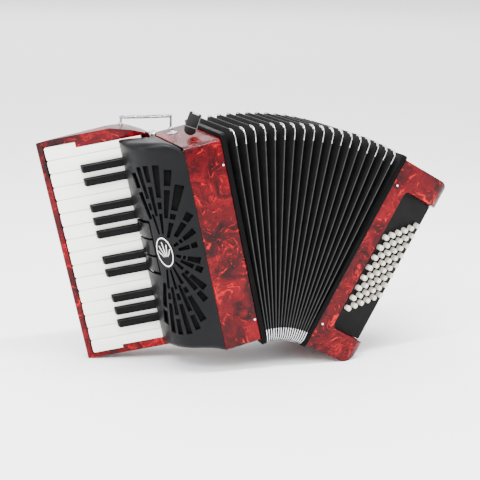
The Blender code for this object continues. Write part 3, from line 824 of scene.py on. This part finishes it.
def cap_screw():
    """The chrome screw that holds the grille's upper cap."""
    bm = bmesh.new()
    base = TREBLE.at(-72, 74, 312.0)
    profile = [(5.2, -2.0), (5.2, 0.6), (4.6, 1.4), (3.6, 1.8), (3.4, 4.4), (2.8, 5.2), (1.0, 5.5)]
    turned_shape(bm, base, TREBLE.z, profile, 28)
    finish("cap_screw", bm, CHROME, "treble")


def strap_bracket():
    """A chrome wire bent into two flat loops on two posts, for the shoulder straps."""
    low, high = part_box("strap_bracket")
    r, deep, dip, droop = 1.6, 8.6, 1.4, 3.0
    z = high.z / MM - r - droop
    y = (low.y + high.y) / 2 / MM
    x0, x1 = low.x / MM + r, high.x / MM - r
    middle = (x0 + x1) / 2
    bm = bmesh.new()
    for start, end in ((x0, middle), (middle, x1)):
        points = []
        for i in range(16):
            a = 2 * math.pi * i / 16
            c, s = math.cos(a), math.sin(a)
            wide = (end - start) / 2 - r * 0.3
            x = (start + end) / 2 + wide * math.copysign(abs(c) ** 0.55, c)
            near = 1 - abs(x - middle) / (x1 - middle)
            back = y + deep * math.copysign(abs(s) ** 0.7, s)
            points.append(Vector((x, back, z - dip * max(near - 0.55, 0))) * MM)
        tube(bm, curve_points(points, 4, True), r, 10, closed=True)
    bed_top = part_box("keyboard_bed")[1].z / MM
    for x, w in ((low.x / MM + 1.9, bed_top - 2.6), (high.x / MM - 1.9, low.z / MM)):
        foot = Vector((x, y, w)) * MM
        tall = z - w
        profile = [(3.6, 0.0), (3.6, 1.0), (2.6, 2.2), (1.7, 3.2), (1.6, tall - 1.5),
                   (2.3, tall - 1.2), (2.3, tall + 1.0), (1.4, tall + 1.5)]
        turned_shape(bm, foot, Vector((0, 0, 1)), profile, 16)
    finish("strap_bracket_finish", bm, STEEL, "treble", ("strap_bracket",), 40)


register_tabs()
cap_screw()
strap_bracket()


# ---------------------------------------------------------------- bellows
PLEAT_DEEP = 19.0        # from ridge to valley
RIDGE_HALF = 0.75        # half the ridge's flat
SHOULDER_IN = 0.35       # the flat's edges lie this much lower
TAPE = 0.09              # share of each side that the ridge's tape covers
SWAY = 0.45              # how far the card between ridge and valley bends
CORNER_R = 12.0
VALLEY_R = 3.0
CORNER_RUN = 9.0         # straight ends of the metal corners
CORNER_STEPS = 8
FAR = 9000.0             # a length far past either end of a piece


def fold_frame(k):
    """The plane of a fold, or of the valley half way between two."""
    low = int(math.floor(k))
    if k == low:
        return folds[low]
    share = k - low
    origin = folds[low].o.lerp(folds[low + 1].o, share)
    return turned(origin, LEAN - FOLD_TURN * k)


def pleat_outline(inset, radius, steps=7, long_parts=10, deep_parts=5):
    """Points round the bellows, (depth, height) in a fold's plane."""
    y = (-BELLOWS_OUT + inset, DEPTH + BELLOWS_OUT - inset)
    z = (inset, BELLOWS_TOP - BELLOWS_LOW - inset)
    arcs = rounded(y, z, (radius,) * 4, steps)
    per = steps + 1
    out = []
    for corner in range(4):
        out += arcs[corner * per:(corner + 1) * per]
        a, b = Vector(arcs[(corner + 1) * per - 1]), Vector(arcs[((corner + 1) * per) % len(arcs)])
        parts = deep_parts if corner % 2 == 0 else long_parts
        out += [tuple(a.lerp(b, i / parts)) for i in range(1, parts)]
    return out


def pleat_loop(k, offset, inset, radius):
    """One closed line round the bellows, inset from the ridges' height."""
    place = fold_frame(k)
    return [place.at(offset, y, z) for y, z in pleat_outline(inset, radius)]


def pleat_side(k, sign):
    """From a ridge towards its valley: (points, fold number) of shoulder, tape edge and middle."""
    outer = pleat_loop(k, sign * RIDGE_HALF, SHOULDER_IN, CORNER_R - 0.4)
    inner = pleat_loop(k + 0.5 * sign, 0.0, PLEAT_DEEP, VALLEY_R)
    tape = [a.lerp(b, TAPE) for a, b in zip(outer, inner)]
    sway = [SWAY * noise.noise(Vector((p.x * 9, p.y * 14, p.z * 11 + k))) * MM for p in outer]
    across = fold_frame(k).x
    middle = [a.lerp(b, 0.55) + across * s for a, b, s in zip(outer, inner, sway)]
    return (outer, k), (tape, k + TAPE * 0.5 * sign), (middle, k + 0.275 * sign)


def pleats(name, first, last, body_a, body_b):
    """Folded cloth from one fold's ridge to another's, with a cloth tape along every ridge whose
    lighter grey is partly the tape's own colour and partly a painted highlight on the crest.
    """
    rings = []               # points, fold number, material of the band that follows
    for k in range(first, last + 1):
        if k > first:
            shoulder, tape, middle = pleat_side(k, -1)
            rings += [(*middle, 0), (*tape, 0), (*shoulder, 1)]
        rings.append((pleat_loop(k, 0.0, 0.0, CORNER_R), k, 1))
        if k < last:
            shoulder, tape, middle = pleat_side(k, 1)
            valley = pleat_loop(k + 0.5, 0.0, PLEAT_DEEP, VALLEY_R)
            rings += [(*shoulder, 1), (*tape, 0), (*middle, 0), (valley, k + 0.5, 0)]
    bm = bmesh.new()
    loft(bm, [r[0] for r in rings], caps=False, mats=[r[2] for r in rings])
    if body_a == body_b:
        return finish(name, bm, [PANEL, RIDGE_TAPE_HIGHLIGHT], body_a, (), 25)
    obj = finish(name, bm, [PANEL, RIDGE_TAPE_HIGHLIGHT], None, (), 25)
    centre = fold_frame((first + last) / 2)
    centre.at(-1, 0, 0)
    centre.at(1, 0, 0)
    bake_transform(obj)
    return obj


def straight(direction):
    """The nearest of up, down, forward and back."""
    unit = direction.normalized()
    return Vector((round(unit.x), round(unit.y)))


def metal_corners(k):
    """The bright metal that wraps a ridge's four corners."""
    place = fold_frame(k)
    y = (-BELLOWS_OUT, DEPTH + BELLOWS_OUT)
    z = (0.0, BELLOWS_TOP - BELLOWS_LOW)
    arcs = rounded(y, z, (CORNER_R,) * 4, CORNER_STEPS)
    per = CORNER_STEPS + 1
    bm = bmesh.new()
    for corner in range(4):
        arc = [Vector(p) for p in arcs[corner * per:(corner + 1) * per]]
        first = straight(arc[0] - arc[1]) * CORNER_RUN
        last = straight(arc[-1] - arc[-2]) * CORNER_RUN
        path = [arc[0] + first, arc[0] + first / 2] + arc + [arc[-1] + last / 2, arc[-1] + last]
        loops = []
        for i, p in enumerate(path):
            ahead = path[min(i + 1, len(path) - 1)] - path[max(i - 1, 0)]
            out = Vector((ahead.y, -ahead.x)).normalized()
            pitch = FOLD_PITCH / 2 + p.y * math.tan(math.radians(FOLD_TURN / 2))
            end = 0.35 if i in (0, len(path) - 1) else 1.0
            wing = min(1.35, pitch * 0.6)
            drop = wing / pitch * PLEAT_DEEP * 0.55
            section = [(-wing, -drop), (-0.55, 0.25), (0.0, 0.42), (0.55, 0.25), (wing, -drop),
                       (wing - 0.45, -drop), (0.3, -0.35), (0.0, -0.25), (-0.3, -0.35),
                       (-wing + 0.45, -drop)]
            loop = []
            for x, lift in section:
                q = p + out * lift * (end if lift < 0 else 1.0)
                loop.append(place.at(x * (end if abs(x) > 1 else 1.0), q.x, q.y))
            loops.append(loop)
        loft(bm, loops)
    return bm


def corner_piece(k, body):
    """One ridge's four corners. Without a body, they are not attached to any."""
    name = "bellows_corners_%02d" % k
    return finish(name, metal_corners(k), CHROME, body, (), 40)


def bellows():
    """All folds, from the treble casing's frame to the bass casing's."""
    stops = (0,) + RING_AT + (FOLDS,)
    bodies = ["treble"] + ["bellows_ring_%d" % (i + 1) for i in range(len(RING_AT))] + ["bass"]
    for i in range(len(bodies) - 1):
        first, last = stops[i], stops[i + 1]
        piece = pleats("bellows_pleats_%d" % (i + 1), first, last, bodies[i], bodies[i + 1])
        if i < len(RING_AT):
            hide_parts("bellows_ring_%d" % (i + 1))
        middle = first + 1
        centre = fold_frame(middle)
        odd = corner_piece(middle, None)
        centre.at(-FAR, 0, 0)
        centre.at(FAR, 0, 0)
        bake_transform(odd)
        corner_piece(last, bodies[i + 1])
    pleats("bellows_pleats_10", FOLDS, FOLDS + 1, "bass", "bass")


bellows()
for node in ("treble_bellows_frame", "bass_bellows_frame"):
    refined(node, BLACK, 0.9)


def bellows_pins():
    """White domed pins that hold the bellows frames to the casings."""
    profile = [(1.45, -2.0), (1.45, 0.3), (1.2, 0.7), (0.6, 0.95)]
    for name, place, body, u, front, back in (
        ("treble_pins", TREBLE, "treble", -3.4, (260.5, 35.1), (260.5, 148.0, 35.1)),
        ("bass_pins", BASS, "bass", 7.2, (260.3, 36.3), (260.3, 36.3)),
    ):
        bm = bmesh.new()
        for w in front:
            turned_shape(bm, place.at(u, 0, w), -place.y, profile, 16)
        for w in back:
            turned_shape(bm, place.at(u, DEPTH, w), place.y, profile, 16)
        finish(name, bm, EMBLEM_WHITE, body)


bellows_pins()


# ---------------------------------------------------------------- bass casing
def arc_line(points, steps=6):
    """A smooth line through points of an outline."""
    return [tuple(p) for p in curve_points([Vector(p) for p in points], steps)]


def bass_casing():
    """The rounded bass box with a slanted recess for the buttons."""
    front = arc_line([(60, 0), (72, 1.8), (82, 8.6), (88.4, 20), (92.2, 35), (96, 62)])
    rear = arc_line([(95.5, DEPTH - 6), (92.5, DEPTH - 1.8), (87, DEPTH)], 4)
    side = [(0, 0)] + front + [(96, DEPTH - 7)] + rear
    bm = bmesh.new()
    prism(bm, BASS, "xyz", side + [(0, DEPTH)], -8, BASS_H + 8)
    obj = finish("bass_casing_finish", bm, RED, None)
    taper = (BASS_W - BASS_W_LOW) / BASS_H
    bm = bmesh.new()
    face = [(u - taper * (BASS_H - z) * (u > 0), z)
            for u, z in rounded((-10, BASS_W), (0, BASS_H), (0.01, BASS_R, BASS_R, 0.01), 12)]
    prism(bm, BASS, "xzy", face, -10, DEPTH + 10)
    cut(obj, bm, "INTERSECT")
    chamber = [(-5, 6), (14, 6), (76, 47), (76, DEPTH - 5), (-5, DEPTH - 5)]
    joining_face = [(-5, 0.3), (-5, DEPTH - 0.3), (0.0, DEPTH - 0.3), (0.0, 0.3)]
    recess = rounded((0, BOARD_LEN + 25), (BOARD_LOW, BOARD_HIGH), (9, 0.1, 0.1, 7), 8)
    top = BASS_H
    wheel_slot = [(42, top - 25), (66, top - 25), (66, top + 5), (42, top + 5)]
    for place, axes, outline, low, high in (
        (BASS, "xyz", chamber, 10, BASS_H - 10),
        (BASS, "xyz", joining_face, -20, BASS_H + 20),
        (BOARD, "xzy", recess, -3.3, 60),
        (BASS, "xzy", wheel_slot, 114.5, 121.5),
    ):
        bm = bmesh.new()
        prism(bm, place, axes, outline, low, high)
        cut(obj, bm)
    resmooth(obj, 35)
    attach(obj, "bass")
    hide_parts("bass_casing")
    bevel(obj, 1.3, 3, 38)


def row_start(r):
    """Where a row's lowest button stands: along the board's slant, and up."""
    return ROW_ONE_S + r * ROW_PITCH, ROW_ONE_W + r * ROW_STEP


def button_board():
    """The slanted black board with a round hole for every button."""
    bm = bmesh.new()
    height = (BOARD_LOW + 0.3, BOARD_HIGH - 0.3)
    outline = rounded((0.3, BOARD_LEN), height, (8.8, 0.3, 0.3, 6.8), 8)
    prism(bm, BOARD, "xzy", outline, -3.0, 0.0)
    obj = finish("button_board_finish", bm, BLACK, None)
    bm = bmesh.new()
    for r in range(BUTTON_ROWS):
        s, low = row_start(r)
        for b in range(ROW_BUTTONS):
            base = BOARD.at(s, -6, low + b * BUTTON_PITCH)
            turned_shape(bm, base, BOARD.y, [(4.75, 0.0), (4.75, 12.0)], 20)
    cut(obj, bm)
    resmooth(obj, 35)
    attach(obj, "bass")
    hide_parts("button_board")


def button_rows():
    """Cream buttons with a dished top, eight to a row, on their hidden bar."""
    profile = [(3.85, -3.6), (3.85, 5.4), (3.75, 6.3), (3.4, 6.9),
               (2.9, 7.05), (2.3, 6.9), (1.5, 6.35), (0.6, 6.1)]
    for r in range(BUTTON_ROWS):
        s, low = row_start(r)
        high = low + (ROW_BUTTONS - 1) * BUTTON_PITCH
        bm = bmesh.new()
        box(bm, BOARD, (s - 3, s + 3), (-5.3, -3.3), (low - 5, high + 5))
        for b in range(ROW_BUTTONS):
            turned_shape(bm, BOARD.at(s, 0, low + b * BUTTON_PITCH), BOARD.y, profile, 24)
        node = "bass_button_row_%d" % (r + 1)
        finish(node + "_finish", bm, CREAM, node, (node,), 40)


bass_casing()
button_board()
button_rows()


# ---------------------------------------------------------------- straps, wheel, air button
def strap_loft(bm, line, across, width, thick, out):
    """A flat strap with rounded edges along points in metres."""
    section = []
    for i in range(16):
        a = 2 * math.pi * (i + 0.5) / 16
        c, s = math.cos(a), math.sin(a)
        section.append((math.copysign(abs(c) ** 0.35, c) * width / 2,
                        math.copysign(abs(s) ** 0.6, s) * thick / 2))
    loops = []
    for i, p in enumerate(line):
        along = (line[min(i + 1, len(line) - 1)] - line[max(i - 1, 0)]).normalized()
        up = along.cross(across).normalized()
        if up.dot(out) < 0:
            up = -up
        loops.append([p + (across * a + up * b) * MM for a, b in section])
    loft(bm, loops)


def stitches(bm, line, across, out, offset, lift, pitch=4.2, long=2.6):
    """A row of raised thread stitches beside a line."""
    walked = 0.0
    for a, b in zip(line, line[1:]):
        size = (b - a).length / MM
        along = (b - a).normalized()
        up = along.cross(across).normalized()
        if up.dot(out) < 0:
            up = -up
        while walked < size:
            middle = a + along * walked * MM + (across * offset + up * lift) * MM
            half = along * long / 2 * MM
            crown = up * 0.25 * MM
            tube(bm, [middle - half, middle - half * 0.6 + crown, middle + half * 0.6 + crown,
                      middle + half], 0.28, 6)
            walked += pitch
        walked -= size


def outer_face(z):
    """How far out the bass casing's sloping outer face is at a height."""
    return BASS_W - (BASS_W - BASS_W_LOW) / BASS_H * (BASS_H - z) + 0.3


def hand_strap():
    """A bowed leather strap over the outer face, stitched along both edges."""
    line = []
    thick, bowed, steps = 2.6, 23.0, 60
    for i in range(steps + 1):
        z = 27 + 240 * i / steps
        bow = max(1 - ((z - 147) / 109) ** 2, 0.0)
        line.append(BASS.at(outer_face(z) + thick / 2 + bowed * bow, HAND_STRAP_V, z))
    bm = bmesh.new()
    strap_loft(bm, line, BASS.y, 50, thick, BASS.x)
    finish("hand_strap_leather", bm, LEATHER, "bass", ("bass_hand_strap",), 40)
    bm = bmesh.new()
    for offset in (-21.5, 21.5):
        stitches(bm, line[6:-6], BASS.y, BASS.x, offset, thick / 2)
    finish("hand_strap_stitching", bm, THREAD, "bass")
    bm = bmesh.new()
    screw = [(3.4, 0), (3.2, 0.8), (2.2, 1.4), (0.6, 1.6)]
    for z in (33.0, 262.0):
        for v in (HAND_STRAP_V - 15, HAND_STRAP_V + 15):
            turned_shape(bm, BASS.at(outer_face(z) + 2.4, v, z), BASS.x, screw, 18)
    finish("hand_strap_screws", bm, CHROME, "bass")


def bellows_strap():
    """The leather tab that closes over the bellows, its trim and clasp, and the snap beside it."""
    lean = math.radians(STRAP_LEAN)
    c, s = math.cos(lean), math.sin(lean)
    middle = TREBLE.mm(*STRAP_AT) + TREBLE.z * STRAP_HALF
    place = Frame(middle, (0, -1, 0), (c, 0, -s), (s, 0, c))
    outline = rounded((-STRAP_HALF, STRAP_HALF), (-STRAP_HALF, 23), (8.9, 8.9, 2, 2), 9)
    bm = bmesh.new()
    loops = []
    for x, shrink in ((-1.25, 0.93), (-0.9, 1.0), (0.9, 1.0), (1.25, 0.93)):
        loops.append([place.at(x, y * shrink, 7 + (z - 7) * shrink) for y, z in outline])
    loft(bm, loops)
    finish("bellows_strap_leather", bm, LEATHER, "bellows_strap", ("bellows_strap",), 40)
    bm = bmesh.new()
    box(bm, place, (0.9, 1.6), (-STRAP_HALF, STRAP_HALF), (1.6, 2.6))
    box(bm, place, (0.9, 1.7), (STRAP_HALF - 1.3, STRAP_HALF - 0.5), (-1.0, 22.0))
    finish("bellows_strap_trim", bm, THREAD, "bellows_strap")
    bm = bmesh.new()
    box(bm, place, (-1.6, 1.6), (-5.0, 5.0), (20.4, 23.4))
    obj = finish("bellows_strap_clasp", bm, CREAM, "bellows_strap")
    bevel(obj, 0.6, 2)
    bm = bmesh.new()
    snap = [(7.4, 0), (7.4, 0.9), (6.2, 1.6), (3.4, 1.9), (3.0, 3.2), (2.0, 3.9), (0.5, 4.0)]
    turned_shape(bm, TREBLE.at(-33, 118, CASE_H - 0.2), TREBLE.z, snap, 28)
    finish("bellows_snap", bm, CHROME, "treble")


def strap_wheel():
    """A milled wheel for the hand strap's length."""
    bm = bmesh.new()
    rim = []
    for i in range(96):
        a = 2 * math.pi * i / 96
        r = 10.9 if i % 4 < 2 else 10.3
        rim.append((WHEEL_U + r * math.cos(a), BASS_H - WHEEL_LOW + r * math.sin(a)))
    prism(bm, BASS, "xzy", rim, *WHEEL_V)
    finish("strap_wheel_finish", bm, STEEL, "strap_wheel", ("strap_wheel",), 25)


def air_button():
    """A dished button that lets the bellows move without a sound."""
    bm = bmesh.new()
    face = outer_face(AIR_Z)
    profile = [(5.0, -8.8), (5.0, 2.6), (4.7, 3.5), (3.9, 3.95), (2.4, 3.7), (0.8, 3.5)]
    turned_shape(bm, BASS.at(face, AIR_V, AIR_Z), BASS.x, profile, 28)
    finish("air_button_finish", bm, CREAM, "air_button", ("air_button",), 40)


hand_strap()
bellows_strap()
strap_wheel()
air_button()
for node in ("pallet_board", "treble_reed_block", "bass_reed_block"):
    paint(node, PALE_WOOD)
for node in ("key_axle", "register_rod"):
    paint(node, STEEL)


# ---------------------------------------------------------------- floor, lights, camera
SKY_STRENGTH = 1.9
CAMERA_AT = (-0.5832, -1.6283, 0.5517)
CAMERA_LOOK = (-0.0031, -0.0010, 0.1712)
CAMERA_ROLL = 0.83
LENS = 92.05


def floor():
    """A wide sheet of white paper."""
    bm = bmesh.new()
    bmesh.ops.create_grid(bm, x_segments=1, y_segments=1, size=30.0)
    mesh = bpy.data.meshes.new("floor")
    bm.to_mesh(mesh)
    bm.free()
    obj = bpy.data.objects.new("floor", mesh)
    p = Paint("floor_paper", (0.9, 0.9, 0.9), 0.7)
    p.drive("Base Color", p.mix(p.noise(0.6, 2.0), (0.97, 0.97, 0.97), (0.95, 0.95, 0.955)))
    mesh.materials.append(p.mat)
    bpy.context.scene.collection.objects.link(obj)


def light(name, place, target, size, power):
    """A soft box at a place, turned towards a target."""
    data = bpy.data.lights.new(name, "AREA")
    data.shape = "RECTANGLE"
    data.size, data.size_y = size
    data.energy = power
    obj = bpy.data.objects.new(name, data)
    obj.location = place
    obj.rotation_euler = (Vector(target) - Vector(place)).to_track_quat("-Z", "Y").to_euler()
    bpy.context.scene.collection.objects.link(obj)


def world():
    """Even white light from all round."""
    sky = bpy.data.worlds.new("studio")
    sky.use_nodes = True
    shader = sky.node_tree.nodes["Background"]
    shader.inputs["Color"].default_value = (1.0, 1.0, 1.0, 1.0)
    shader.inputs["Strength"].default_value = SKY_STRENGTH
    bpy.context.scene.world = sky


def camera():
    """The photo's view: a long lens, from a little above and to the keyboard's side."""
    data = bpy.data.cameras.new("camera")
    data.sensor_width = 36.0
    data.lens = LENS
    data.clip_end = 100.0
    obj = bpy.data.objects.new("camera", data)
    place = Vector(CAMERA_AT)
    look = Vector(CAMERA_LOOK) - place
    roll = Matrix.Rotation(math.radians(CAMERA_ROLL), 4, "Z")
    turn = look.to_track_quat("-Z", "Y").to_matrix().to_4x4()
    obj.matrix_world = Matrix.Translation(place) @ turn @ roll
    bpy.context.scene.collection.objects.link(obj)
    bpy.context.scene.camera = obj


floor()
light("key_light", (-1.5, -1.7, 2.4), (0.0, 0.0, 0.15), (1.5, 1.0), 95)
light("top_light", (0.3, 0.2, 2.3), (0.0, 0.0, 0.2), (1.8, 1.2), 40)
light("strip_light", (0.1, -0.60, 2.35), (0.0, 0.0, 0.3), (1.8, 0.09), 95)
light("left_light", (-2.2, -0.5, 0.8), (0.0, 0.0, 0.15), (1.0, 1.4), 40)
light("back_light", (0.0, 9.0, 5.0), (0.0, 9.0, 0.0), (14.0, 12.0), 800)
light("right_light", (1.9, -1.4, 1.1), (0.1, 0.0, 0.15), (0.8, 1.4), 26)
world()
camera()
